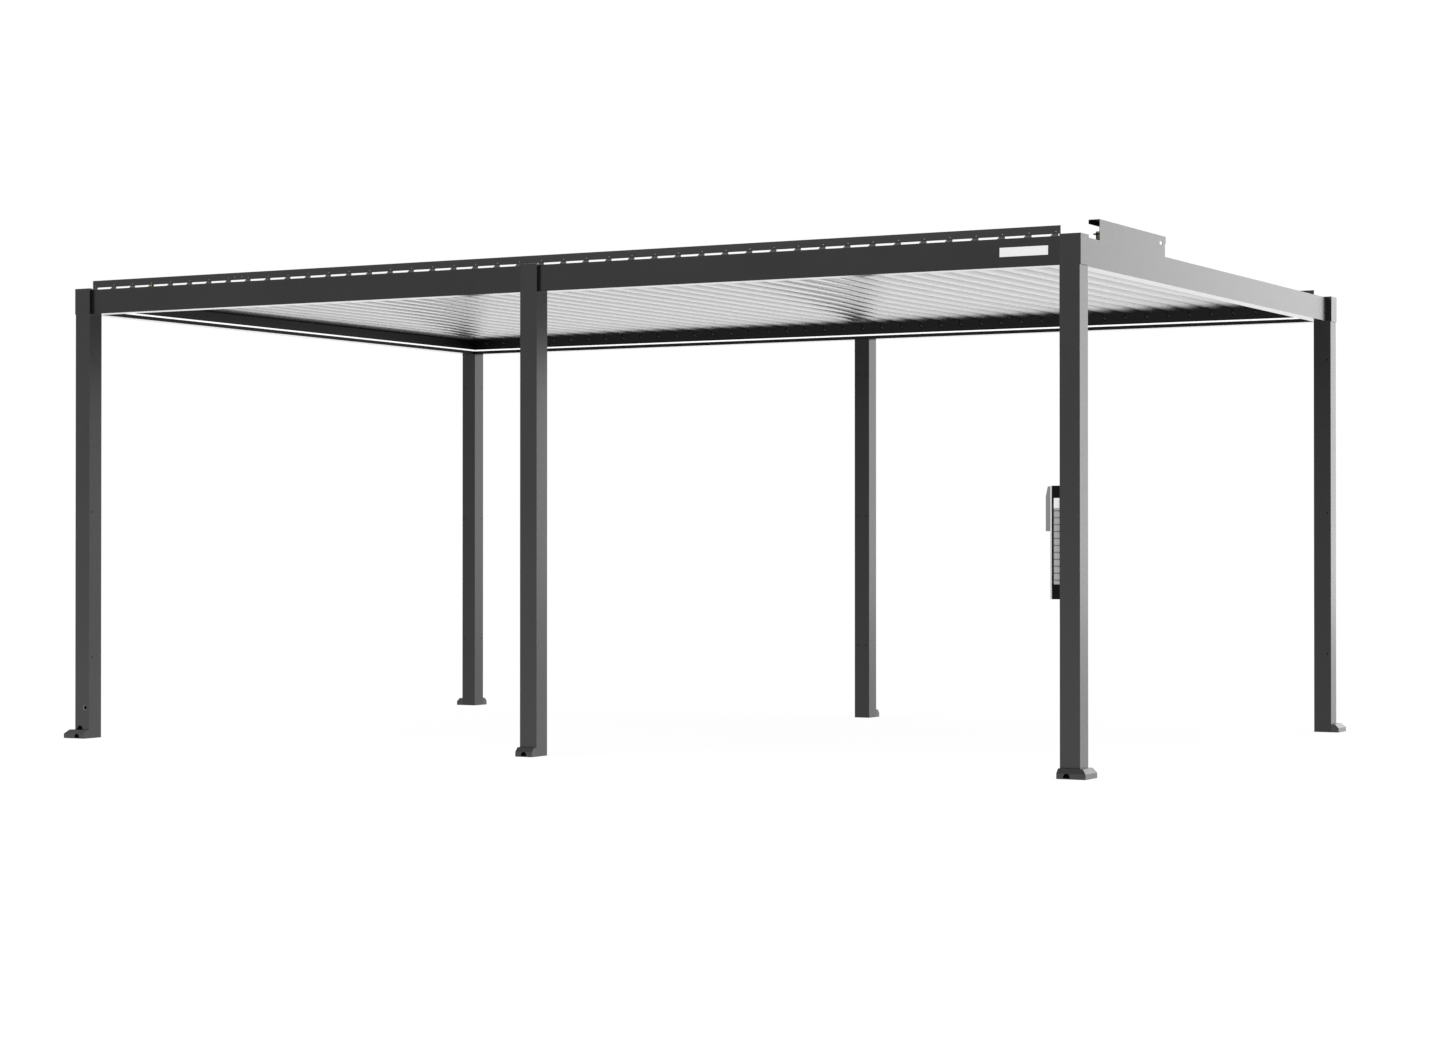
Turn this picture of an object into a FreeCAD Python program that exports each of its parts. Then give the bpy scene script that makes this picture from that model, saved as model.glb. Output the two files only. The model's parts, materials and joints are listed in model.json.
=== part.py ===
import FreeCAD, Part
import math
import os

from FreeCAD import Vector

# Motorized louvred pergola in dark powder-coated aluminium.
# Millimetres, Z up, X along the long side, Y towards the back.
# The origin is on the floor at the centre of the plan.

# Overall frame
LENGTH = 6000.0
DEPTH = 3950.0
HEIGHT = 2500.0
POST_SIZE = 100.0
POST_WALL = 2.5
HEAD_HEIGHT = 136.0
HEAD_WALL = 3.0
HEAD_RISE = 7.0
HEAD_SHOULDER = 5.0

# Gutter beams
BEAM_RECESS = 20.0
BEAM_HEIGHT = 135.0
BEAM_WALL = 2.5
BEAM_TOP_LIP = 8.0
GUTTER_DEPTH = 90.0
SIDE_WALL_DROP = 51.0

# Light strip let into the inner faces of the beams
LIGHT_HEIGHT = 9.0
LIGHT_DEPTH = 6.0
LIGHT_RISE = 20.0
LIGHT_POCKET_WALL = 2.0

# Louvres: each turns about a pin line near its left edge, and its underside is bowed
LOUVRE_PITCH = 134.0
PIVOT_DROP = 22.0
LOUVRE_SKIN = 1.5
LOUVRE_UNDER = 6.0
LOUVRE_BOW = 17.0
LOUVRE_TOP = 14.0
LOUVRE_CROWN = 2.0
TROUGH_BACK = 10.0
TROUGH_LIP_TOP = 2.0
TROUGH_WIDTH = 22.0
FLANK_SLOPE = 6.0
LIP_OVERLAP = 8.0
LIP_DROP = 7.0
LOUVRE_GAP = 7.0
LOUVRE_END_GAP = 3.0
END_CAP = 3.0

# Crank arms and link bars
PIVOT_RADIUS = 4.0
PIVOT_CLEARANCE = 0.3
BEARING_RISE = 6.0
CRANK_REACH = 45.0
CRANK_RISE = 45.0
CRANK_THICK = 4.0
CRANK_TIP_RADIUS = 8.0
CRANK_PIN_RADIUS = 3.0
CRANK_PIN_CLEARANCE = 0.3
PIN_SIDES = 6
HOLE_SIDES = 8
BAR_INSET = 46.0
BAR_THICK = 4.0
BAR_CRANK_GAP = 1.0
BAR_ABOVE_PIN = 29.0
BAR_BELOW_PIN = 10.0
BAR_END_LEFT = 19.0
BAR_END_RIGHT = 21.0

# Fixing holes in the inward faces of the posts
FIXING_RADIUS = 4.25
FIXING_INSET = 22.0
FIXING_BOTTOM = 451.0
FIXING_MIDDLE = 1262.0
FIXING_TOP_DROP = 356.0

# Foot covers
FOOT_REACH = 44.0
FOOT_SKIRT = 25.0
FOOT_HEIGHT = 47.0
DRAIN_WIDTH = 33.0
DRAIN_HEIGHT = 22.0
DRAIN_SILL = 4.0

# Water outlet holes in the left front post
OUTLET_RADIUS = 20.0
OUTLET_RISE = 50.0
OUTLET_OFFSET = -17.0
CABLE_HOLE_RADIUS = 9.0
CABLE_HOLE_RISE = 170.0
CABLE_HOLE_OFFSET = 20.0

# Motor cover and motor on the right beam
COVER_INSET = 200.0
COVER_LENGTH = 875.0
COVER_RISE = 100.0
COVER_WALL = 2.0
COVER_FLANGE = 56.0
COVER_LIP = 20.0
COVER_SLOT_LENGTH = 40.0
COVER_SLOT_HEIGHT = 17.0
COVER_SLOT_INSET = 55.0
COVER_SLOT_DROP = 36.5
COVER_TAB_LENGTH = 12.0
COVER_TAB_HEIGHT = 35.0
MOTOR_LENGTH = 520.0
MOTOR_WIDTH = 18.0
MOTOR_HEIGHT = 44.0
MOTOR_INSET = 12.0
MOTOR_BRACKET = 36.0
MOTOR_BRACKET_THICK = 4.0

# Control box on the inner side of the right front post
BOX_BOTTOM = 823.0
BOX_HEIGHT = 524.0
BOX_REACH = 43.0
BOX_WIDTH = 84.0
BOX_EDGE = 6.0
LID_THICK = 9.0
LID_CORNER = 4.0
RECEIVER_REACH = 20.0
RECEIVER_BOTTOM = 1137.0
RECEIVER_HEIGHT = 207.0
RECEIVER_SLANT = 10.0
RECEIVER_SLANT_HEIGHT = 46.0
PANEL_GAP = 1.0
PANEL_WIDTH = 31.0
PANEL_BOTTOM = 892.0
PANEL_HEIGHT = 398.0
PANEL_DEPTH = 2.0

# Blank plate on the front beam
PLATE_WIDTH = 243.0
PLATE_HEIGHT = 43.0
PLATE_THICK = 2.0
PLATE_INSET = 64.0
PLATE_RISE = 50.5

# Worked out from the sizes above
HALF_LENGTH = LENGTH / 2
HALF_DEPTH = DEPTH / 2
HEAD_BOTTOM = HEIGHT - HEAD_HEIGHT
HEAD_TOP = HEIGHT + HEAD_RISE
BEAM_BOTTOM = HEIGHT - BEAM_HEIGHT
BEAM_WIDTH = POST_SIZE - BEAM_RECESS
GUTTER_FLOOR = HEIGHT - GUTTER_DEPTH
PIVOT_Z = HEIGHT - PIVOT_DROP
GUTTER_SPAN = LENGTH - 2 * (BEAM_RECESS + BEAM_WALL)
LOUVRE_COUNT = int(GUTTER_SPAN // LOUVRE_PITCH)
LOUVRE_RIGHT = LOUVRE_PITCH - TROUGH_BACK - LOUVRE_GAP
LIP_END = LOUVRE_PITCH - TROUGH_BACK + LIP_OVERLAP
TROUGH_END = TROUGH_WIDTH - TROUGH_BACK
ROW_LENGTH = (LOUVRE_COUNT - 1) * LOUVRE_PITCH + TROUGH_BACK + LIP_END
FIRST_PIVOT = TROUGH_BACK - ROW_LENGTH / 2
LIGHT_BOTTOM = BEAM_BOTTOM + LIGHT_RISE
LIGHT_TOP = LIGHT_BOTTOM + LIGHT_HEIGHT
INNER_X = HALF_LENGTH - POST_SIZE
INNER_Y = HALF_DEPTH - POST_SIZE
CRANK_INSET = BAR_INSET + BAR_THICK + BAR_CRANK_GAP
SIDES = (-1, 1)
POST_COLUMNS = (-1, 0, 1)


def save(name, shapes):
    """Write one node, made of one or more solids that don't touch."""
    solids = []
    for shape in shapes:
        solids.extend(shape.Solids)
    whole = solids[0] if len(solids) == 1 else Part.makeCompound(solids)
    whole.exportStep(os.path.join("parts", name + ".step"))


def block(x_span, y_span, z_span):
    """Box between the low and high values of each span, in any order."""
    low = [min(span) for span in (x_span, y_span, z_span)]
    size = [max(span) - min(span) for span in (x_span, y_span, z_span)]
    return Part.makeBox(size[0], size[1], size[2], Vector(*low))


def face_of(points):
    """Flat face inside a closed outline of straight edges."""
    return Part.Face(Part.makePolygon(points + [points[0]]))


def post_centre(column, row):
    """Plan position of a post: column -1, 0 or 1 and row -1 or 1."""
    half = POST_SIZE / 2
    return column * (HALF_LENGTH - half), row * (HALF_DEPTH - half)


def square_tube(centre, z_span, wall):
    """Square tube of the post's size standing on its centre."""
    x, y = centre
    half = POST_SIZE / 2
    outside = block((x - half, x + half), (y - half, y + half), z_span)
    return outside.cut(tube_core(centre, z_span, wall))


def tube_core(centre, z_span, wall):
    """Hollow inside a square tube of the post's size."""
    x, y = centre
    inner = POST_SIZE / 2 - wall
    return block((x - inner, x + inner), (y - inner, y + inner), z_span)


def post(column, row):
    """Hollow post from the floor up to its head."""
    tube = square_tube(post_centre(column, row), (0, HEAD_BOTTOM), POST_WALL)
    tube = tube.cut(Part.makeCompound(fixing_holes(column, row)))
    if column == -1 and row == -1:
        tube = tube.cut(post_outlets(column, row))
    return tube


def fixing_holes(column, row):
    """Rows of holes in a post's inward faces, for screens and side walls."""
    x, y = post_centre(column, row)
    reach = POST_SIZE / 2 - FIXING_INSET
    lines = []
    if column == 0:
        lines += [(x - reach, y, 0), (x + reach, y, 0)]
    else:
        lines += [(x + column * reach, y, 0), (x, y + row * reach, -column)]
    holes = []
    for z in (FIXING_BOTTOM, FIXING_MIDDLE, HEIGHT - FIXING_TOP_DROP):
        for hole_x, hole_y, toward_x in lines:
            turn = -90 * toward_x if toward_x else 90 * (1 + row)
            hole = prism(0, 0, hole_radius(FIXING_RADIUS), HOLE_SIDES, 0, POST_SIZE)
            hole.rotate(Vector(0, 0, 0), Vector(0, 0, 1), turn)
            hole.translate(Vector(hole_x, hole_y, z))
            holes.append(hole)
    return holes


def post_outlets(column, row):
    """Water outlet and cable hole in the outward face of one post."""
    x, y = post_centre(column, row)
    start = y + row * (POST_SIZE / 2 + POST_WALL)
    through = Vector(0, -row, 0)
    reach = POST_WALL * 3
    drain = Part.makeCylinder(
        OUTLET_RADIUS, reach, Vector(x + OUTLET_OFFSET, start, OUTLET_RISE), through)
    cable = Part.makeCylinder(
        CABLE_HOLE_RADIUS, reach, Vector(x + CABLE_HOLE_OFFSET, start, CABLE_HOLE_RISE), through)
    return drain.fuse(cable)


def head(column, row):
    """Corner or middle connector on a post, open where the gutters run through."""
    x, y = post_centre(column, row)
    half = POST_SIZE / 2
    z_span = (HEAD_BOTTOM, HEAD_TOP)
    shoulder = column * HEAD_SHOULDER
    outside = block((x - half + min(shoulder, 0), x + half + max(shoulder, 0)), (y - half, y + half), z_span)
    shell = outside.cut(tube_core((x, y), z_span, HEAD_WALL))
    outer_y = row * (HALF_DEPTH - BEAM_RECESS - BEAM_WALL)
    inner_y = row * (INNER_Y + HEAD_WALL)
    for side in SIDES:
        if column == side:
            continue
        wall_x = x + side * half
        notch = block(
            (wall_x - side * 2 * HEAD_WALL, wall_x + side * HEAD_WALL),
            (inner_y, outer_y), (GUTTER_FLOOR, HEAD_TOP))
        shell = shell.cut(notch)
    if column == 0:
        shell = shell.fuse(head_light_block(x, row)).cut(head_light_groove(x, row))
    return shell.cut(bearing_slots(row)).removeSplitter()


def head_light_block(x, row):
    """Thickening behind the light groove across a middle head."""
    half = POST_SIZE / 2
    back = INNER_Y + LIGHT_DEPTH + LIGHT_POCKET_WALL
    return block(
        (x - half, x + half), (row * INNER_Y, row * back),
        (LIGHT_BOTTOM - LIGHT_POCKET_WALL, LIGHT_TOP + LIGHT_POCKET_WALL))


def head_light_groove(x, row):
    """Groove for the light strip across a middle head."""
    half = POST_SIZE / 2
    return block(
        (x - half, x + half), (row * INNER_Y, row * (INNER_Y + LIGHT_DEPTH)),
        (LIGHT_BOTTOM, LIGHT_TOP))


def beam_profile(inner_top, place):
    """Gutter beam section: place turns distance from the outer face and height into a point."""
    wall = BEAM_WALL
    wide = BEAM_WIDTH
    back = wide - LIGHT_DEPTH - LIGHT_POCKET_WALL
    outline = [
        (0, BEAM_BOTTOM), (wide, BEAM_BOTTOM),
        (wide, LIGHT_BOTTOM), (wide - LIGHT_DEPTH, LIGHT_BOTTOM),
        (wide - LIGHT_DEPTH, LIGHT_TOP), (wide, LIGHT_TOP),
        (wide, inner_top), (wide - wall, inner_top),
        (wide - wall, GUTTER_FLOOR), (wall, GUTTER_FLOOR),
        (wall, HEIGHT - wall), (wall + BEAM_TOP_LIP, HEIGHT - wall),
        (wall + BEAM_TOP_LIP, HEIGHT), (0, HEIGHT)]
    hollow = [
        (wall, BEAM_BOTTOM + wall), (wide - wall, BEAM_BOTTOM + wall),
        (wide - wall, LIGHT_BOTTOM - LIGHT_POCKET_WALL), (back, LIGHT_BOTTOM - LIGHT_POCKET_WALL),
        (back, LIGHT_TOP + LIGHT_POCKET_WALL), (wide - wall, LIGHT_TOP + LIGHT_POCKET_WALL),
        (wide - wall, GUTTER_FLOOR - wall), (wall, GUTTER_FLOOR - wall)]
    solid = face_of([place(*point) for point in outline])
    return solid.cut(face_of([place(*point) for point in hollow]))


def long_beam(row, side):
    """Front or rear beam between a corner head and the middle head."""
    start = side * POST_SIZE / 2
    end = side * INNER_X
    outer = row * (HALF_DEPTH - BEAM_RECESS)
    section = beam_profile(
        PIVOT_Z + BEARING_RISE, lambda depth, z: Vector(start, outer - row * depth, z))
    return section.extrude(Vector(end - start, 0, 0)).cut(bearing_slots(row))


def side_beam(side):
    """Left or right beam, its inner wall lowered to let the end louvres pass over."""
    outer = side * (HALF_LENGTH - BEAM_RECESS)
    section = beam_profile(
        HEIGHT - SIDE_WALL_DROP, lambda depth, z: Vector(outer - side * depth, -INNER_Y, z))
    return section.extrude(Vector(0, 2 * INNER_Y, 0))


def pivot_x(index):
    """Pin line of a louvre, counted from 0 at the left."""
    return FIRST_PIVOT + index * LOUVRE_PITCH


def bearing_slots(row):
    """Open slots in the inner walls that carry the louvre pins."""
    radius = hole_radius(PIVOT_RADIUS + PIVOT_CLEARANCE)
    near = row * (INNER_Y - BEAM_WALL)
    far = row * (INNER_Y + 2 * HEAD_WALL)
    slots = []
    for index in range(LOUVRE_COUNT):
        x = pivot_x(index)
        seat = prism(x, PIVOT_Z, radius, HOLE_SIDES, near, far)
        mouth = block((x - radius, x + radius), (near, far), (PIVOT_Z, HEAD_TOP))
        slots.append(seat.fuse(mouth))
    return Part.makeCompound(slots)


def underside_z(u, inset=0.0):
    """Height of the bowed underside, or of the skin's inner side, at u from the pin line."""
    reach = (LOUVRE_RIGHT + TROUGH_BACK) / 2
    middle = (LOUVRE_RIGHT - TROUGH_BACK) / 2
    radius = (reach ** 2 + LOUVRE_BOW ** 2) / (2 * LOUVRE_BOW) - inset
    rise = radius - math.sqrt(radius ** 2 - (u - middle) ** 2)
    return inset - LOUVRE_UNDER - LOUVRE_BOW + rise


def bowed_face(x, start, end, inset, points):
    """Face between the underside's arc from start to end and the points that close it."""
    arc_points = [(u, underside_z(u, inset)) for u in (start, (start + end) / 2, end)]
    low = [Vector(x + u, 0, PIVOT_Z + w) for u, w in arc_points]
    upper = [Vector(x + u, 0, PIVOT_Z + w) for u, w in points]
    rest = Part.makePolygon([low[2]] + upper + [low[0]])
    return Part.Face(Part.Wire([Part.Arc(*low).toShape()] + rest.Edges))


def louvre_outline(x):
    """Outer section of a closed louvre at its pin line x, at the plane y = 0."""
    skin = LOUVRE_SKIN
    top = LOUVRE_TOP
    middle = (TROUGH_WIDTH + LOUVRE_RIGHT) / 2
    floor_start = skin - TROUGH_BACK
    return bowed_face(x, -TROUGH_BACK, LOUVRE_RIGHT, 0, [
        (LOUVRE_RIGHT, top - skin), (LIP_END - skin, top - skin),
        (LIP_END - skin, LIP_DROP), (LIP_END, LIP_DROP), (LIP_END, top), (LOUVRE_RIGHT, top),
        (middle, top + LOUVRE_CROWN), (TROUGH_END + FLANK_SLOPE, top),
        (TROUGH_END, underside_z(TROUGH_END, skin)), (floor_start, underside_z(floor_start, skin)),
        (floor_start, TROUGH_LIP_TOP), (-TROUGH_BACK, TROUGH_LIP_TOP)])


def louvre_hollow(x):
    """Chamber inside a louvre, one skin in from the outline."""
    skin = LOUVRE_SKIN
    middle = (TROUGH_WIDTH + LOUVRE_RIGHT) / 2
    return bowed_face(x, TROUGH_END + skin, LOUVRE_RIGHT - skin, skin, [
        (LOUVRE_RIGHT - skin, LOUVRE_TOP - skin), (middle, LOUVRE_TOP + LOUVRE_CROWN - skin),
        (TROUGH_END + FLANK_SLOPE + skin, LOUVRE_TOP - skin)])


def louvre(index):
    """One louvre with its end caps, pins and crank arms."""
    x = pivot_x(index)
    half = INNER_Y - LOUVRE_END_GAP
    section = louvre_outline(x).cut(louvre_hollow(x))
    section.translate(Vector(0, -half, 0))
    blade = section.extrude(Vector(0, 2 * half, 0))
    for row in SIDES:
        blade = blade.fuse(louvre_end(x, row))
    return blade.removeSplitter()


def louvre_end(x, row):
    """Trough cap, pivot pin, crank arm and crank pin at one end of a louvre."""
    outside = INNER_Y - LOUVRE_END_GAP
    crank_near = HALF_DEPTH - CRANK_INSET - CRANK_THICK
    bar_far = HALF_DEPTH - BAR_INSET + BAR_CRANK_GAP
    cap_top = PIVOT_RADIUS + LOUVRE_SKIN
    cap = bowed_face(x, -TROUGH_BACK, TROUGH_END, 0, [(TROUGH_END, cap_top), (-TROUGH_BACK, cap_top)])
    cap.translate(Vector(0, row * (outside - END_CAP), 0))
    cap = cap.extrude(Vector(0, row * END_CAP, 0))
    pin = prism(
        x, PIVOT_Z, PIVOT_RADIUS, PIN_SIDES, row * (outside - END_CAP), row * crank_near)
    crank_pin = prism(
        x + CRANK_REACH, PIVOT_Z + CRANK_RISE, CRANK_PIN_RADIUS, PIN_SIDES,
        row * crank_near, row * bar_far)
    arm = crank_arm(x, row * crank_near)
    arm = arm.extrude(Vector(0, row * CRANK_THICK, 0))
    return cap.fuse([pin, arm, crank_pin])


def prism(x, z, radius, sides, y_start, y_end):
    """Straight bar along Y with its corners on the radius, for pins and their holes."""
    corners = []
    for step in range(sides):
        angle = 2 * math.pi * step / sides
        corners.append(Vector(x + radius * math.cos(angle), y_start, z + radius * math.sin(angle)))
    return face_of(corners).extrude(Vector(0, y_end - y_start, 0))


def hole_radius(clear_radius):
    """Corner radius of a many-sided hole whose flats lie at the clear radius."""
    return clear_radius / math.cos(math.pi / HOLE_SIDES)


def crank_arm(x, y):
    """Fin-shaped arm from the pivot up to the link bar's pin."""
    tip = CRANK_TIP_RADIUS
    slant = tip * math.sqrt(0.5)
    foot = LOUVRE_UNDER
    outline = [
        (-TROUGH_BACK, -foot), (CRANK_REACH + tip, -foot),
        (CRANK_REACH + tip, CRANK_RISE + slant), (CRANK_REACH + slant, CRANK_RISE + tip),
        (CRANK_REACH - slant, CRANK_RISE + slant), (-TROUGH_BACK, TROUGH_LIP_TOP)]
    return face_of([Vector(x + u, y, PIVOT_Z + w) for u, w in outline])


def link_bar(row):
    """Flat bar that joins the crank pins of every louvre at one end."""
    first = pivot_x(0) + CRANK_REACH
    last = pivot_x(LOUVRE_COUNT - 1) + CRANK_REACH
    z = PIVOT_Z + CRANK_RISE
    outer = row * (HALF_DEPTH - BAR_INSET)
    inner = row * (HALF_DEPTH - BAR_INSET - BAR_THICK)
    bar = block(
        (first - BAR_END_LEFT, last + BAR_END_RIGHT), (inner, outer),
        (z - BAR_BELOW_PIN, z + BAR_ABOVE_PIN))
    holes = []
    radius = hole_radius(CRANK_PIN_RADIUS + CRANK_PIN_CLEARANCE)
    for index in range(LOUVRE_COUNT):
        holes.append(prism(pivot_x(index) + CRANK_REACH, z, radius, HOLE_SIDES, inner, outer))
    return bar.cut(Part.makeCompound(holes))


def light_strips():
    """Light strips let into the inner faces on all four sides."""
    z_span = (LIGHT_BOTTOM, LIGHT_TOP)
    strips = []
    for side in SIDES:
        strips.append(block(
            (-INNER_X + LIGHT_POCKET_WALL, INNER_X - LIGHT_POCKET_WALL),
            (side * INNER_Y, side * (INNER_Y + LIGHT_DEPTH)), z_span))
        strips.append(block(
            (side * INNER_X, side * (INNER_X + LIGHT_DEPTH)),
            (-INNER_Y + LIGHT_POCKET_WALL, INNER_Y - LIGHT_POCKET_WALL), z_span))
    return strips


def foot_cover(column, row):
    """Cast cover round the outward sides of a post's foot."""
    x, y = post_centre(column, row)
    half = POST_SIZE / 2
    reach_x = (FOOT_REACH if column < 0 else 0, FOOT_REACH if column > 0 else 0)
    slope = FOOT_HEIGHT - FOOT_SKIRT
    skirt = foot_ring(x, y, row, reach_x, FOOT_REACH)
    lower = skirt.extrude(Vector(0, 0, FOOT_SKIRT))
    shelf = FOOT_REACH - slope
    shelf_x = tuple(shelf if reach else 0 for reach in reach_x)
    base = foot_wire(x, y, row, reach_x, FOOT_REACH, FOOT_SKIRT)
    crest = foot_wire(x, y, row, shelf_x, shelf, FOOT_HEIGHT)
    cover = lower.fuse(Part.makeLoft([base, crest], True, True))
    cover = cover.cut(block(
        (x - half, x + half), (y - half, y + half), (-FOOT_SKIRT, FOOT_HEIGHT + FOOT_SKIRT)))
    if row == -1:
        cover = cover.cut(drain_hole(x, y, row))
    return cover.removeSplitter()


def foot_corners(x, y, row, reach_x, reach_y):
    """Plan corners of a foot cover for one height."""
    half = POST_SIZE / 2
    low_x = x - half - reach_x[0]
    high_x = x + half + reach_x[1]
    out_y = y + row * (half + reach_y)
    in_y = y - row * half
    return [(low_x, out_y), (high_x, out_y), (high_x, in_y), (low_x, in_y)]


def foot_wire(x, y, row, reach_x, reach_y, z):
    """Closed outline of a foot cover at height z."""
    points = [Vector(a, b, z) for a, b in foot_corners(x, y, row, reach_x, reach_y)]
    return Part.makePolygon(points + [points[0]])


def foot_ring(x, y, row, reach_x, reach_y):
    """Filled outline of a foot cover on the floor."""
    return Part.Face(foot_wire(x, y, row, reach_x, reach_y, 0))


def drain_hole(x, y, row):
    """Round-topped drain hole in the outward face of a foot cover."""
    radius = DRAIN_WIDTH / 2
    straight = DRAIN_HEIGHT - radius
    start = y + row * POST_SIZE / 2
    end = start + row * (FOOT_REACH + POST_WALL)
    bottom = block((x - radius, x + radius), (start, end), (DRAIN_SILL, DRAIN_SILL + straight))
    arch = Part.makeCylinder(
        radius, abs(end - start), Vector(x, min(start, end), DRAIN_SILL + straight), Vector(0, 1, 0))
    keep = block((x - radius, x + radius), (start, end), (DRAIN_SILL, DRAIN_SILL + DRAIN_HEIGHT))
    return bottom.fuse(arch).common(keep)


def cover_span():
    """Start and end of the motor cover along the right beam."""
    start = -INNER_Y + COVER_INSET
    return start, start + COVER_LENGTH


def motor_cover():
    """Folded sheet cover standing on the right beam over the motor."""
    outer = HALF_LENGTH - BEAM_RECESS
    top = HEIGHT + COVER_RISE
    start, end = cover_span()
    web = block((outer - COVER_WALL, outer), (start, end), (HEIGHT, top))
    tab = block(
        (outer - COVER_WALL, outer), (end, end + COVER_TAB_LENGTH), (top - COVER_TAB_HEIGHT, top))
    flange = block((outer - COVER_FLANGE, outer), (start, end), (top - COVER_WALL, top))
    lip = block(
        (outer - COVER_FLANGE, outer - COVER_FLANGE + COVER_WALL), (start, end), (top - COVER_LIP, top))
    return web.fuse([tab, flange, lip]).cut(cover_slot(outer, end, top)).removeSplitter()


def cover_slot(outer, end, top):
    """Round-ended slot through the cover near its far end."""
    radius = COVER_SLOT_HEIGHT / 2
    half = COVER_SLOT_LENGTH / 2 - radius
    y = end - COVER_SLOT_INSET
    z = top - COVER_SLOT_DROP
    near = outer - 2 * COVER_WALL
    middle = block((near, outer + COVER_WALL), (y - half, y + half), (z - radius, z + radius))
    ends = [
        Part.makeCylinder(radius, 3 * COVER_WALL, Vector(near, y + side * half, z), Vector(1, 0, 0))
        for side in SIDES]
    return middle.fuse(ends)


def motor():
    """Slim drive motor and its end brackets under the cover."""
    wall = HALF_LENGTH - BEAM_RECESS - COVER_WALL
    near = wall - MOTOR_BRACKET_THICK
    y_start = cover_span()[0] + MOTOR_INSET
    body = block(
        (near - MOTOR_WIDTH, near), (y_start, y_start + MOTOR_LENGTH), (HEIGHT, HEIGHT + MOTOR_HEIGHT))
    for y in (y_start, y_start + MOTOR_LENGTH - MOTOR_BRACKET):
        body = body.fuse(block((near, wall), (y, y + MOTOR_BRACKET), (HEIGHT, HEIGHT + MOTOR_HEIGHT)))
    return body


def box_depth():
    """Near and far sides of the control box along the post."""
    middle = -HALF_DEPTH + POST_SIZE / 2
    return middle - BOX_WIDTH / 2, middle + BOX_WIDTH / 2


def upright_edges(solid):
    """Edges of a solid that stand upright."""
    return [edge for edge in solid.Edges
            if abs(edge.Vertexes[0].Z - edge.Vertexes[-1].Z) > edge.Length / 2]


def control_box():
    """Housing on the inner side of the right front post."""
    housing = block(
        (INNER_X - BOX_REACH, INNER_X), box_depth(), (BOX_BOTTOM, BOX_BOTTOM + BOX_HEIGHT))
    corners = [edge for edge in upright_edges(housing) if edge.BoundBox.XMax < INNER_X - BOX_REACH / 2]
    return housing.makeChamfer(BOX_EDGE, corners).cut(panel_block())


def control_lid():
    """Light lid plate over the housing's inward face."""
    face = INNER_X - BOX_REACH
    lid = block((face - LID_THICK, face), box_depth(), (BOX_BOTTOM, BOX_BOTTOM + BOX_HEIGHT))
    corners = [edge for edge in upright_edges(lid) if edge.BoundBox.XMax < face - LID_THICK / 2]
    return lid.makeFillet(LID_CORNER, corners)


def receiver():
    """Grey receiver on the lid, its top edge slanted."""
    near = INNER_X - BOX_REACH - LID_THICK
    far = near - RECEIVER_REACH
    start, end = box_depth()
    top = RECEIVER_BOTTOM + RECEIVER_HEIGHT
    side = face_of([Vector(x, start, z) for x, z in (
        (near, RECEIVER_BOTTOM), (far, RECEIVER_BOTTOM), (far, top - RECEIVER_SLANT_HEIGHT),
        (far + RECEIVER_SLANT, top), (near, top))])
    return side.extrude(Vector(0, end - start, 0))


def panel_block():
    """Sunk panel on the outward face of the control box."""
    near = INNER_X - PANEL_GAP
    start = box_depth()[0]
    return block(
        (near - PANEL_WIDTH, near), (start, start + PANEL_DEPTH),
        (PANEL_BOTTOM, PANEL_BOTTOM + PANEL_HEIGHT))


def name_plate():
    """Bare plate on the front beam near its right end."""
    face = -HALF_DEPTH + BEAM_RECESS
    right = INNER_X - PLATE_INSET
    bottom = BEAM_BOTTOM + PLATE_RISE
    return block(
        (right - PLATE_WIDTH, right), (face - PLATE_THICK, face), (bottom, bottom + PLATE_HEIGHT))


def main():
    os.makedirs("parts", exist_ok=True)
    save("front_posts", [post(column, -1) for column in POST_COLUMNS])
    save("rear_posts", [post(column, 1) for column in POST_COLUMNS])
    save("post_heads", [head(column, row) for column in POST_COLUMNS for row in SIDES])
    save("foot_covers", [foot_cover(column, row) for column in POST_COLUMNS for row in SIDES])
    save("front_beams", [long_beam(-1, side) for side in SIDES])
    save("rear_beams", [long_beam(1, side) for side in SIDES])
    save("side_beams", [side_beam(side) for side in SIDES])
    save("light_strips", light_strips())
    save("link_bars", [link_bar(row) for row in SIDES])
    save("motor_cover", [motor_cover()])
    save("drive_motor", [motor()])
    save("control_box", [control_box()])
    save("control_lid", [control_lid()])
    save("receiver", [receiver()])
    save("control_panel", [panel_block()])
    save("blank_plate", [name_plate()])
    for index in range(LOUVRE_COUNT):
        save("louvre_%02d" % (index + 1), [louvre(index)])


main()
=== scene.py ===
import json
import math

import bmesh
import bpy
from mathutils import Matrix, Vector


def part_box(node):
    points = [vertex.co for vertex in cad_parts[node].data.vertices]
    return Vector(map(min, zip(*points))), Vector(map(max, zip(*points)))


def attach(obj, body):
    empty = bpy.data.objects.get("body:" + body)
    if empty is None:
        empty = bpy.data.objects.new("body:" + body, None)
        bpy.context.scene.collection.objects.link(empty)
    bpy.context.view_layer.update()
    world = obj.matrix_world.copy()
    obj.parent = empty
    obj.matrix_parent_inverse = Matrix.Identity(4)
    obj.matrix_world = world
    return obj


# Looks of the motorized louvred pergola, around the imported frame. Metres, Z up.

# Camera, fitted to the photograph's post and beam corners, with lens and sensor in millimetres
CAMERA_PLACE = (7.9746, -14.3894, 1.059)
CAMERA_YAW = 0.504
CAMERA_PITCH = 0.0066
CAMERA_LENS = 72.11
SENSOR_WIDTH = 36.0
VIEW_END = 200.0

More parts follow.
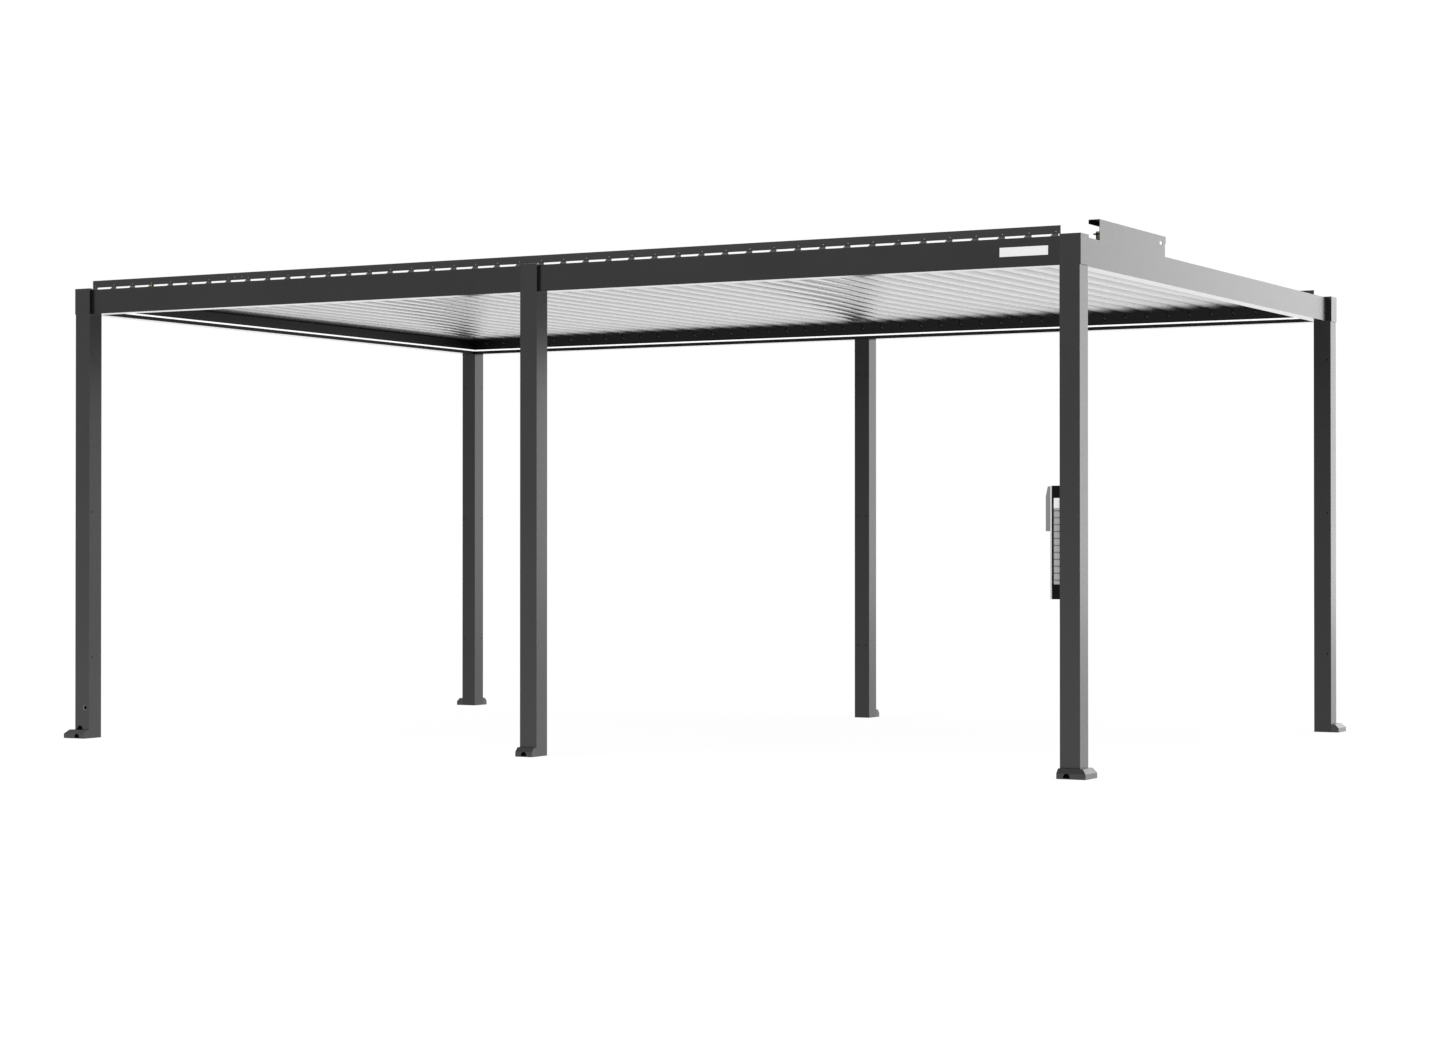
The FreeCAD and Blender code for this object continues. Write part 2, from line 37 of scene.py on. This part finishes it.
# Frame sizes that the added pieces line up with
POST_SIZE = 0.100
PIVOT_Z = 2.478
LOUVRE_PITCH = 0.134
CRANK_REACH = 0.045
CRANK_RISE = 0.045
BAR_END_LEFT = 0.019
ARM_BEHIND_BAR = 0.005
LOUVRE_COUNT = 44

# Rounding of the frame's edges, and of the post heads that fit closely on the posts
EDGE = 0.0012
HEAD_EDGE = 0.0004

# Steps in a rounding, and the least bend in degrees that is rounded
EDGE_SEGMENTS = 2
EDGE_ANGLE = 40

# Small discs: sides, and the front's radius as a share of the back's
DISC_SIDES = 16
FINE_DISC_SIDES = 24
DOT_SIDES = 10
STOP_SIDES = 8
DISC_TAPER = 0.9

# Rivets on the crank arms and pin ends on the link bars
PIN_END_RADIUS = 0.0030
PIN_END_THICK = 0.0006
BAR_PIN_STICKS_OUT = 0.0010
ARM_RIVET_RADIUS = 0.0026
ARM_RIVET_LEFT = 0.021
ARM_RIVET_DOWN = 0.020

# Three screws and a brass bush on the front link bar
SPLICE_X = -1.893
SPLICE_SPREAD = 0.026
SPLICE_TOP = 2.547
SPLICE_DROP = 0.018
SPLICE_RADIUS = 0.0030
BUSH_LOUVRE = 3
BUSH_LENGTH = 0.022
BUSH_HEIGHT = 0.009
BUSH_LEFT = 0.009
BUSH_THICK = 0.004

# Bent slots pressed into the inner walls, one beside each pin, measured from the pin
SLOT_SHAPE = ((-0.0075, -0.021), (-0.0090, -0.043), (0.0100, -0.058))
SLOT_WIDTH = 0.0055
SLOT_LIFT = 0.0004
SLOT_LIP_WIDTH = 0.0036
SLOT_STOP = (-0.0186, -0.044)
SLOT_STOP_RADIUS = 0.0020

# Cable hole in the left front post: distance from its left face, and height
CABLE_HOLE = (0.070, 0.170)

# Painted inside of the cable hole: a grey rim whose left crescent is painted light on the hole's lit
# inner wall, and a black disc of painted shade inside it; shift to the right, and radius
CABLE_LIT_RIM = (0.0015, 0.0145)
CABLE_HOLE_SHADE = (0.0045, 0.0105)

# Water outlet in the left front post: distance from its left face, height and radius
WATER_OUTLET = (0.033, 0.050, 0.020)
# Depth inside the outlet of the dark disc of painted shade
OUTLET_SHADE_DEPTH = 0.0008

# Dark sheets of painted shade just inside the drain holes in the foot covers
DRAIN_WIDTH = 0.0326
DRAIN_BOTTOM = 0.0042
DRAIN_TOP = 0.0258
DRAIN_DEPTH = 0.006

# Control box details, with the first row of holes as a share of a row below the label
LABEL_HEIGHT = 0.046
LABEL_MARGIN = 0.003
DOT_ROWS = 11
DOTS_IN_ROW = 3
DOT_RADIUS = 0.0033
DOT_FIRST_ROW = 0.4
DETAIL_LIFT = 0.0006

# Bolts at the open end of the motor cover: form, radius, bottom and top above the beam
BOLT_PLACE = (2.9710, -1.668)
BRASS_PARTS = (("round", 0.0050, 0.008, 0.036), ("round", 0.0062, 0.036, 0.040))
BLACK_PARTS = (
    ("round", 0.0085, 0.0, 0.009), ("round", 0.0064, 0.014, 0.019), ("round", 0.0070, 0.026, 0.034),
    ("square", 0.011, 0.028, 0.034))

# Reach of a square bolt part to the left, in radii
SQUARE_REACH = 2

# Limits of the walls that face the roof space, where the painted shade goes
INNER_FACE_X = 2.9015
INNER_FACE_Y = 1.8765
INNER_FACE_Z = 2.363

# Floor: half its side, and its drop below the feet
FLOOR_HALF = 100.0
FLOOR_DROP = 0.0005

# Floor: matt level as it throws light back, matt level and glow to the eye, and glow in reflections
FLOOR_MATT = 0.8
FLOOR_SHADOW = 0.13
FLOOR_SEEN = 0.92
FLOOR_MIRRORED = 2.0

# World strength to the eye and as light
WORLD_SEEN = 1.0
WORLD_LIGHT = 0.7

# Lamps: place, target, size and watts
LAMPS = {
    "front_soft": ((-4.0, -12.0, 9.0), (0, 0, 1.2), 6.0, 500),
    "back_soft": ((11.7, 28.6, 7.4), (0, 0, 1.5), 18.2, 2280),
}

# Noise textures: scale and detail
CLOUD_NOISE = (2.2, 3.0)
GLOSS_NOISE = (34.0, 3.0)
BRUSH_NOISE = (260.0, 2.0)
MOTTLE_NOISE = (60.0, 3.0)

# Fine grain: detail of its noise, and strength of its bump
GRAIN_DETAIL = 2.0
GRAIN_STRENGTH = 0.25

# Texture values where the dark colour ends and the light one begins
RAMP_START = 0.3
RAMP_END = 0.7

# How far the roughness strays below and above its middle value
GLOSS_STRAY = (0.04, 0.04)
BRUSH_STRAY = (0.06, 0.08)


def grey(level):
    """Plain grey as a linear colour."""
    return (level, level, level, 1.0)


# Colours, as linear values
COAT_DARK = (0.0105, 0.0103, 0.0104, 1.0)
COAT_LIGHT = (0.0140, 0.0137, 0.0139, 1.0)
LOUVRE_DARK = (0.020, 0.0197, 0.020, 1.0)
LOUVRE_LIGHT = (0.027, 0.0266, 0.027, 1.0)
BRASS_LIGHT = (0.26, 0.21, 0.12, 1.0)
BRASS_DARK = (0.15, 0.12, 0.07, 1.0)
STEEL_LIGHT = (0.26, 0.26, 0.27, 1.0)
STEEL_DARK = (0.18, 0.18, 0.19, 1.0)

# Painted shade on the walls that face the roof space: a darker, less glossy coat standing in for the
# little light that reaches them
INNER_PAINTED_SHADE = grey(0.0035)
INNER_ROUGH = 0.35
INNER_SPECULAR = 0.18

# White light strips
STRIP_SHADE = grey(0.86)
STRIP_WHITE = grey(1.0)
STRIP_STRENGTH = 0.8
STRIP_ROUGH = 0.4

# Coats and plastics: dark and light colour, roughness, grain scale, grain depth, specular level
COATS = {
    # Rear posts: a shaded copy of the coat, its lower specular level painted shade for their place under
    # the roof
    "dark_coat_rear_painted_shade": (COAT_DARK, COAT_LIGHT, 0.24, 900.0, 0.00003, 0.29),
    "foot_coat": (COAT_DARK, COAT_LIGHT, 0.24, 700.0, 0.00006, 0.40),
    "louvre_coat": (LOUVRE_DARK, LOUVRE_LIGHT, 0.26, 900.0, 0.00002, 0.85),
    "bar_coat": (COAT_DARK, COAT_LIGHT, 0.30, 900.0, 0.00003, 0.36),
    "motor_black": (grey(0.0010), grey(0.0022), 0.45, 1200.0, 0.0001, 0.10),
    "box_black": (grey(0.0010), grey(0.0022), 0.42, 1200.0, 0.0001, 0.06),
    "lid_light": (grey(0.70), grey(0.78), 0.30, 1500.0, 0.00002, 0.5),
    "receiver_grey": (grey(0.21), grey(0.24), 0.45, 1200.0, 0.00005, 0.5),
    "panel_grey": (grey(0.38), grey(0.44), 0.35, 1500.0, 0.00003, 0.5),
    "plate_white": (grey(0.93), grey(0.97), 0.30, 1500.0, 0.00002, 0.5),
    "cable_rim": (grey(0.14), grey(0.17), 0.4, 900.0, 0.00003, 0.3),
    "hole_black": (grey(0.0006), grey(0.0006), 0.8, 600.0, 0.0001, 0.03),
}

# Coats with painted shade on the walls that face the roof space, given by the same six values
INNER_SHADED_COATS = {
    "dark_coat": (COAT_DARK, COAT_LIGHT, 0.24, 900.0, 0.00003, 0.38),
    # Front beams: a shaded copy of the coat, its lower specular level painted shade that darkens their
    # faces
    "dark_coat_front_painted_shade": (COAT_DARK, COAT_LIGHT, 0.24, 900.0, 0.00003, 0.31),
}

# Metals: dark and light colour, and roughness
METALS = {
    "brass_fitting": (BRASS_DARK, BRASS_LIGHT, 0.32),
    "plated_steel": (STEEL_DARK, STEEL_LIGHT, 0.30),
}

# Nodes that get a shaded copy of their slot's coat, with a lower specular level as painted shade
SHADED_COAT_COPIES = {"rear_posts": "dark_coat_rear_painted_shade", "front_beams": "dark_coat_front_painted_shade"}

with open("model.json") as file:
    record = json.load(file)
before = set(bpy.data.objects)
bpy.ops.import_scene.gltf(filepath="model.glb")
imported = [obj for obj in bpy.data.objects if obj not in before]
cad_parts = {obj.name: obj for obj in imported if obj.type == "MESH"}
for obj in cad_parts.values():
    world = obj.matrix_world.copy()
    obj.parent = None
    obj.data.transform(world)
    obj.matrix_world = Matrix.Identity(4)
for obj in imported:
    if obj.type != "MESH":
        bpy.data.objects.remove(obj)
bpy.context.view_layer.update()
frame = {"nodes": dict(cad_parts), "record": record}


def node_tree(name):
    """New material with only its output and main shader."""
    material = bpy.data.materials.new(name)
    material.use_nodes = True
    tree = material.node_tree
    return material, tree, tree.nodes["Principled BSDF"]


def noise(tree, scale, detail):
    """Noise texture in metres on the object's own coordinates."""
    place = tree.nodes.new("ShaderNodeTexCoord")
    texture = tree.nodes.new("ShaderNodeTexNoise")
    texture.inputs["Scale"].default_value = scale
    texture.inputs["Detail"].default_value = detail
    tree.links.new(place.outputs["Object"], texture.inputs["Vector"])
    return texture.outputs["Fac"]


def spread(tree, source, low, high):
    """Colours between low and high by a texture's value."""
    ramp = tree.nodes.new("ShaderNodeValToRGB")
    first, last = ramp.color_ramp.elements
    first.position = RAMP_START
    last.position = RAMP_END
    first.color = low
    last.color = high
    tree.links.new(source, ramp.inputs["Fac"])
    return ramp.outputs["Color"]


def rough_range(tree, source, middle, stray):
    """Roughness about a middle value by a texture's value."""
    ranged = tree.nodes.new("ShaderNodeMapRange")
    ranged.inputs["To Min"].default_value = middle - stray[0]
    ranged.inputs["To Max"].default_value = middle + stray[1]
    tree.links.new(source, ranged.inputs["Value"])
    return ranged.outputs["Result"]


def math_node(tree, operation, first, second):
    """Result of one sum on a socket and a socket or number."""
    node = tree.nodes.new("ShaderNodeMath")
    node.operation = operation
    tree.links.new(first, node.inputs[0])
    if isinstance(second, float):
        node.inputs[1].default_value = second
    else:
        tree.links.new(second, node.inputs[1])
    return node.outputs[0]


def mixed(tree, factor, first, second):
    """First shader where the factor is 0, second where it is 1."""
    mix = tree.nodes.new("ShaderNodeMixShader")
    tree.links.new(factor, mix.inputs["Fac"])
    tree.links.new(first, mix.inputs[1])
    tree.links.new(second, mix.inputs[2])
    return mix.outputs[0]


def coated(name, dark, light, rough, grain_scale, grain_depth, specular):
    """Powder coat or moulded plastic: cloudy colour, varied gloss and fine grain."""
    material, tree, shader = node_tree(name)
    cloud = noise(tree, *CLOUD_NOISE)
    gloss = noise(tree, *GLOSS_NOISE)
    grain = noise(tree, grain_scale, GRAIN_DETAIL)
    tree.links.new(spread(tree, cloud, dark, light), shader.inputs["Base Color"])
    tree.links.new(rough_range(tree, gloss, rough, GLOSS_STRAY), shader.inputs["Roughness"])
    bump = tree.nodes.new("ShaderNodeBump")
    bump.inputs["Strength"].default_value = GRAIN_STRENGTH
    bump.inputs["Distance"].default_value = grain_depth
    tree.links.new(grain, bump.inputs["Height"])
    tree.links.new(bump.outputs["Normal"], shader.inputs["Normal"])
    shader.inputs["Specular IOR Level"].default_value = specular
    return material


def coated_with_painted_shade(name, *finish):
    """Powder coat with painted shade, a darker and less glossy shader, on the walls that face the roof
    space.
    """
    material = coated(name, *finish)
    tree = material.node_tree
    outer = tree.nodes["Principled BSDF"]
    inner = tree.nodes.new("ShaderNodeBsdfPrincipled")
    inner.inputs["Base Color"].default_value = INNER_PAINTED_SHADE
    inner.inputs["Roughness"].default_value = INNER_ROUGH
    inner.inputs["Specular IOR Level"].default_value = INNER_SPECULAR
    place = tree.nodes.new("ShaderNodeTexCoord")
    split = tree.nodes.new("ShaderNodeSeparateXYZ")
    tree.links.new(place.outputs["Object"], split.inputs[0])
    # Mask of the painted shade: walls inside the roof space above a set height
    factor = math_node(tree, "GREATER_THAN", split.outputs["Z"], INNER_FACE_Z)
    for axis, limit in (("X", INNER_FACE_X), ("Y", INNER_FACE_Y)):
        size = math_node(tree, "ABSOLUTE", split.outputs[axis], 0.0)
        within = math_node(tree, "LESS_THAN", size, limit)
        factor = math_node(tree, "MULTIPLY", factor, within)
    mix = mixed(tree, factor, outer.outputs[0], inner.outputs[0])
    tree.links.new(mix, tree.nodes["Material Output"].inputs["Surface"])
    return material


def metal(name, dark, light, rough):
    """Plain worked metal with light brushing."""
    material, tree, shader = node_tree(name)
    brush = noise(tree, *BRUSH_NOISE)
    tree.links.new(spread(tree, brush, dark, light), shader.inputs["Base Color"])
    tree.links.new(rough_range(tree, brush, rough, BRUSH_STRAY), shader.inputs["Roughness"])
    shader.inputs["Metallic"].default_value = 1.0
    return material


def light_strip_white(name):
    """White light diffuser with a faint mottle."""
    material, tree, shader = node_tree(name)
    mottle = noise(tree, *MOTTLE_NOISE)
    tree.links.new(spread(tree, mottle, STRIP_SHADE, STRIP_WHITE), shader.inputs["Base Color"])
    shader.inputs["Emission Color"].default_value = STRIP_WHITE
    shader.inputs["Emission Strength"].default_value = STRIP_STRENGTH
    shader.inputs["Roughness"].default_value = STRIP_ROUGH
    return material


def make_materials():
    """Every material by its name."""
    made = {name: coated(name, *finish) for name, finish in COATS.items()}
    made.update({name: coated_with_painted_shade(name, *finish) for name, finish in INNER_SHADED_COATS.items()})
    made.update({name: metal(name, *finish) for name, finish in METALS.items()})
    made["light_white"] = light_strip_white("light_white")
    return made


def dress_frame():
    """Give every node of the frame its finish, and soften the edges of all but the louvres and link bars.
    """
    slots = {row["node"]: row["material_slot"] for row in frame["record"]["subparts"]}
    for name, node in frame["nodes"].items():
        node.data.materials.clear()
        # Some nodes get a shaded copy of their coat: painted shade
        node.data.materials.append(MATERIALS[SHADED_COAT_COPIES.get(name, slots[name])])
        if name.startswith("louvre") or name == "link_bars":
            continue
        soften(node, HEAD_EDGE if name == "post_heads" else EDGE)


def soften(piece, width):
    """Small rounded edges that catch the light."""
    bevel = piece.modifiers.new("edge", "BEVEL")
    bevel.width = width
    bevel.segments = EDGE_SEGMENTS
    bevel.limit_method = "ANGLE"
    bevel.angle_limit = math.radians(EDGE_ANGLE)
    bevel.harden_normals = True


def new_piece(name, mesh_maker, material, body):
    """Mesh piece of the scene in a named material, riding on a body."""
    mesh = bpy.data.meshes.new(name)
    work = bmesh.new()
    mesh_maker(work)
    work.to_mesh(mesh)
    work.free()
    mesh.materials.append(MATERIALS[material])
    piece = bpy.data.objects.new(name, mesh)
    bpy.context.scene.collection.objects.link(piece)
    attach(piece, body)


def add_disc(work, centre, normal, radius, thick, sides=DISC_SIDES):
    """Short round plug whose back lies at the centre."""
    turn = Vector((0, 0, 1)).rotation_difference(Vector(normal)).to_matrix().to_4x4()
    made = bmesh.ops.create_cone(
        work, cap_ends=True, segments=sides, radius1=radius, radius2=radius * DISC_TAPER, depth=thick)
    shift = Vector(centre) + Vector(normal) * thick / 2
    bmesh.ops.transform(work, matrix=turn, verts=made["verts"])
    bmesh.ops.translate(work, vec=shift, verts=made["verts"])


def add_box(work, low, high):
    """Box between two corners."""
    made = bmesh.ops.create_cube(work, size=1.0)
    size = Vector(high) - Vector(low)
    bmesh.ops.scale(work, vec=size, verts=made["verts"])
    bmesh.ops.translate(work, vec=(Vector(high) + Vector(low)) / 2, verts=made["verts"])


def add_strip(work, start, end, face, row, width):
    """Thin straight strip on an inner wall between two points given as x and height."""
    along = Vector((end[0] - start[0], 0, end[1] - start[1])).normalized()
    across = Vector((-along.z, 0, along.x)) * width / 2
    front = face - row * SLOT_LIFT
    first = Vector((start[0], front, start[1]))
    last = Vector((end[0], front, end[1]))
    corners = (first - across, last - across, last + across, first + across)
    work.faces.new([work.verts.new(corner) for corner in corners])


def pin_line(index):
    """Pin line of a louvre, counted from 0 at the left, from the link bars' left end."""
    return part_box("link_bars")[0].x + BAR_END_LEFT - CRANK_REACH + index * LOUVRE_PITCH


def arm_rivets(work, index):
    """Pin ends on the link bars' outer faces and the small rivet beside each on the arm."""
    x = pin_line(index) + CRANK_REACH
    z = PIVOT_Z + CRANK_RISE
    low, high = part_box("link_bars")
    for row, face in ((-1, low.y), (1, high.y)):
        pin_face = face + row * BAR_PIN_STICKS_OUT
        arm_face = face - row * ARM_BEHIND_BAR
        add_disc(work, (x, pin_face, z), (0, row, 0), PIN_END_RADIUS, PIN_END_THICK)
        add_disc(
            work, (x - ARM_RIVET_LEFT, arm_face, z - ARM_RIVET_DOWN),
            (0, row, 0), ARM_RIVET_RADIUS, PIN_END_THICK)


def splice_screws(work):
    """Three small screws where two lengths of the front link bar meet."""
    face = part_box("link_bars")[0].y
    for across, down in ((-SPLICE_SPREAD, SPLICE_DROP), (0, 0), (SPLICE_SPREAD, SPLICE_DROP)):
        add_disc(
            work, (SPLICE_X + across, face, SPLICE_TOP - down), (0, -1, 0), SPLICE_RADIUS, PIN_END_THICK)


def brass_bush(work):
    """Brass bush under the front link bar, before one crank arm."""
    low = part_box("link_bars")[0]
    x = pin_line(BUSH_LOUVRE) + CRANK_REACH - BUSH_LEFT
    half = BUSH_LENGTH / 2
    add_box(work, (x - half, low.y, low.z - BUSH_HEIGHT), (x + half, low.y + BUSH_THICK, low.z))


def slot_places():
    """Row, wall and pin line of every bent slot, on both inner walls."""
    for row, face in ((-1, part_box("front_beams")[1].y), (1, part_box("rear_beams")[0].y)):
        for index in range(LOUVRE_COUNT):
            yield row, face, pin_line(index)


def pressed_slots(work):
    """Bent slots beside every pin."""
    for row, face, x in slot_places():
        points = [(x + across, PIVOT_Z + up) for across, up in SLOT_SHAPE]
        add_strip(work, points[0], points[1], face, row, SLOT_WIDTH)
        add_strip(work, points[1], points[2], face, row, SLOT_WIDTH)


def slot_lips(work):
    """Thin raised lip above the slanting run of every bent slot."""
    rise = (SLOT_WIDTH + SLOT_LIP_WIDTH) / 2
    for row, face, x in slot_places():
        ends = [(x + across, PIVOT_Z + up + rise) for across, up in SLOT_SHAPE[1:]]
        add_strip(work, ends[0], ends[1], face, row, SLOT_LIP_WIDTH)


def slot_stops(work):
    """Dark stop pin left of every bent slot."""
    across, up = SLOT_STOP
    for row, face, x in slot_places():
        add_disc(
            work, (x + across, face, PIVOT_Z + up), (0, -row, 0), SLOT_STOP_RADIUS, SLOT_LIFT, STOP_SIDES)


def cable_disc(work, form, layer):
    """Thin round disc over the cable hole, on layer 1 or 2 above the post's front face. The grey rim's
    left crescent is painted light on the hole's lit inner wall, and the black disc is painted shade
    inside the hole.
    """
    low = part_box("front_posts")[0]
    across, z = CABLE_HOLE
    shift, radius = form
    y = low.y - (layer - 1) * DETAIL_LIFT
    add_disc(work, (low.x + across + shift, y, z), (0, -1, 0), radius, DETAIL_LIFT, FINE_DISC_SIDES)


def outlet_hole_shade(work):
    """Dark disc of painted shade just inside the water outlet of the left front post."""
    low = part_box("front_posts")[0]
    across, z, radius = WATER_OUTLET
    add_disc(
        work, (low.x + across, low.y + OUTLET_SHADE_DEPTH, z), (0, -1, 0),
        radius - DETAIL_LIFT, DETAIL_LIFT, FINE_DISC_SIDES)


def drain_hole_shade(work):
    """Dark sheets of painted shade just inside the drain holes of the front foot covers."""
    post_low, post_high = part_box("front_posts")
    half = DRAIN_WIDTH / 2
    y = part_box("foot_covers")[0].y + DRAIN_DEPTH
    for x in (post_low.x + POST_SIZE / 2, (post_low.x + post_high.x) / 2, post_high.x - POST_SIZE / 2):
        add_box(work, (x - half, y, DRAIN_BOTTOM), (x + half, y + DETAIL_LIFT, DRAIN_TOP))


def box_label(work):
    """Bare white label at the top of the control panel."""
    low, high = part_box("control_panel")
    add_box(
        work, (low.x, low.y - DETAIL_LIFT, high.z - LABEL_HEIGHT), (high.x - LABEL_MARGIN, low.y, high.z))


def box_dots(work):
    """Rows of small dark holes down the control panel."""
    low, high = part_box("control_panel")
    top = high.z - LABEL_HEIGHT
    pitch = (top - low.z) / DOT_ROWS
    spacing = (high.x - low.x) / DOTS_IN_ROW
    for row in range(DOT_ROWS):
        z = top - pitch * (row + DOT_FIRST_ROW)
        for column in range(DOTS_IN_ROW):
            x = low.x + spacing * (column + 0.5)
            add_disc(work, (x, low.y, z), (0, -1, 0), DOT_RADIUS, DETAIL_LIFT, DOT_SIDES)


def bolt_stack(work, parts):
    """Upright stack at the open end of the motor cover, its square parts reaching to the left."""
    x, y = BOLT_PLACE
    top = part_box("side_beams")[1].z
    for form, radius, low, high in parts:
        if form == "round":
            add_disc(work, (x, y, top + low), (0, 0, 1), radius, high - low)
        else:
            left = x - SQUARE_REACH * radius
            add_box(work, (left, y - radius, top + low), (x, y + radius, top + high))


def make_camera():
    """Camera at the photograph's viewing angle."""
    data = bpy.data.cameras.new("photo_camera")
    data.lens = CAMERA_LENS
    data.sensor_width = SENSOR_WIDTH
    data.clip_end = VIEW_END
    camera = bpy.data.objects.new("photo_camera", data)
    camera.location = CAMERA_PLACE
    camera.rotation_euler = (math.pi / 2 + CAMERA_PITCH, 0, CAMERA_YAW)
    bpy.context.scene.collection.objects.link(camera)
    bpy.context.scene.camera = camera


def make_world():
    """Plain light for the object, and white wherever the camera or a reflection looks."""
    world = bpy.data.worlds.new("studio")
    world.use_nodes = True
    tree = world.node_tree
    tree.nodes.clear()
    output = tree.nodes.new("ShaderNodeOutputWorld")
    mix = mixed(tree, seen_by_eye(tree), background(tree, WORLD_LIGHT), background(tree, WORLD_SEEN))
    tree.links.new(mix, output.inputs["Surface"])
    bpy.context.scene.world = world


def background(tree, strength):
    """White world light of one strength."""
    shader = tree.nodes.new("ShaderNodeBackground")
    shader.inputs["Color"].default_value = grey(1.0)
    shader.inputs["Strength"].default_value = strength
    return shader.outputs[0]


def seen_by_eye(tree):
    """1 for camera, glossy and transmission rays, else 0."""
    path = tree.nodes.new("ShaderNodeLightPath")
    either = math_node(tree, "MAXIMUM", path.outputs["Is Camera Ray"], path.outputs["Is Glossy Ray"])
    return math_node(tree, "MAXIMUM", either, path.outputs["Is Transmission Ray"])


def make_floor():
    """Pale floor: white to the eye with a faint shadow, brighter in reflections."""
    material = bpy.data.materials.new("floor_white")
    material.use_nodes = True
    tree = material.node_tree
    tree.nodes.clear()
    output = tree.nodes.new("ShaderNodeOutputMaterial")
    path = tree.nodes.new("ShaderNodeLightPath")
    seen = added(tree, diffuse(tree, FLOOR_SHADOW), glow(tree, FLOOR_SEEN))
    plain = mixed(tree, path.outputs["Is Camera Ray"], diffuse(tree, FLOOR_MATT), seen)
    mirrored = mixed(tree, path.outputs["Is Glossy Ray"], plain, glow(tree, FLOOR_MIRRORED))
    tree.links.new(mirrored, output.inputs["Surface"])
    mesh = bpy.data.meshes.new("floor")
    signs = ((-1, -1), (1, -1), (1, 1), (-1, 1))
    corners = [(x * FLOOR_HALF, y * FLOOR_HALF, -FLOOR_DROP) for x, y in signs]
    mesh.from_pydata(corners, [], [(0, 1, 2, 3)])
    mesh.materials.append(material)
    floor = bpy.data.objects.new("floor", mesh)
    bpy.context.scene.collection.objects.link(floor)


def diffuse(tree, level):
    """Matt shader of one grey level."""
    shader = tree.nodes.new("ShaderNodeBsdfDiffuse")
    shader.inputs["Color"].default_value = grey(level)
    return shader.outputs[0]


def glow(tree, strength):
    """Plain white light of one strength."""
    shader = tree.nodes.new("ShaderNodeEmission")
    shader.inputs["Strength"].default_value = strength
    return shader.outputs[0]


def added(tree, first, second):
    """Sum of two shaders."""
    both = tree.nodes.new("ShaderNodeAddShader")
    tree.links.new(first, both.inputs[0])
    tree.links.new(second, both.inputs[1])
    return both.outputs[0]


def area_lamp(name, place, target, size, watts):
    """Soft square lamp aimed at a target."""
    data = bpy.data.lights.new(name, "AREA")
    data.size = size
    data.energy = watts
    lamp = bpy.data.objects.new(name, data)
    lamp.location = place
    aim = Vector(target) - Vector(place)
    lamp.rotation_euler = aim.to_track_quat("-Z", "Y").to_euler()
    bpy.context.scene.collection.objects.link(lamp)


def make_pieces():
    """Small pieces round the frame: name, maker, material and body."""
    for index in range(LOUVRE_COUNT):
        body = "louvre_%02d" % (index + 1)
        new_piece(
            body + "_pin_ends", lambda work: arm_rivets(work, index), "plated_steel", body)
    new_piece("splice_screws", splice_screws, "plated_steel", "link_bars")
    new_piece("brass_bush", brass_bush, "brass_fitting", "link_bars")
    new_piece("pressed_slots", pressed_slots, "hole_black", "frame")
    new_piece("slot_lips", slot_lips, "cable_rim", "frame")
    new_piece("slot_stops", slot_stops, "motor_black", "frame")
    # Painted light and shade in the cable hole: lit crescent of its inner wall, and dark inside
    new_piece(
        "cable_rim", lambda work: cable_disc(work, CABLE_LIT_RIM, 1), "cable_rim", "frame")
    new_piece(
        "cable_hole_painted_shade", lambda work: cable_disc(work, CABLE_HOLE_SHADE, 2), "hole_black", "frame")
    # Dark disc of painted shade inside the water outlet
    new_piece("outlet_hole_shade", outlet_hole_shade, "hole_black", "frame")
    # Dark sheets of painted shade inside the drain holes
    new_piece("drain_hole_shade", drain_hole_shade, "hole_black", "frame")
    new_piece("box_label", box_label, "plate_white", "frame")
    new_piece("box_dots", box_dots, "hole_black", "frame")
    new_piece(
        "bolt_studs", lambda work: bolt_stack(work, BRASS_PARTS), "brass_fitting", "frame")
    new_piece(
        "bolt_nuts", lambda work: bolt_stack(work, BLACK_PARTS), "motor_black", "frame")


MATERIALS = make_materials()
dress_frame()
make_pieces()
make_camera()
make_world()
make_floor()
for name, values in LAMPS.items():
    area_lamp(name, *values)
bpy.context.scene.view_settings.view_transform = "Standard"
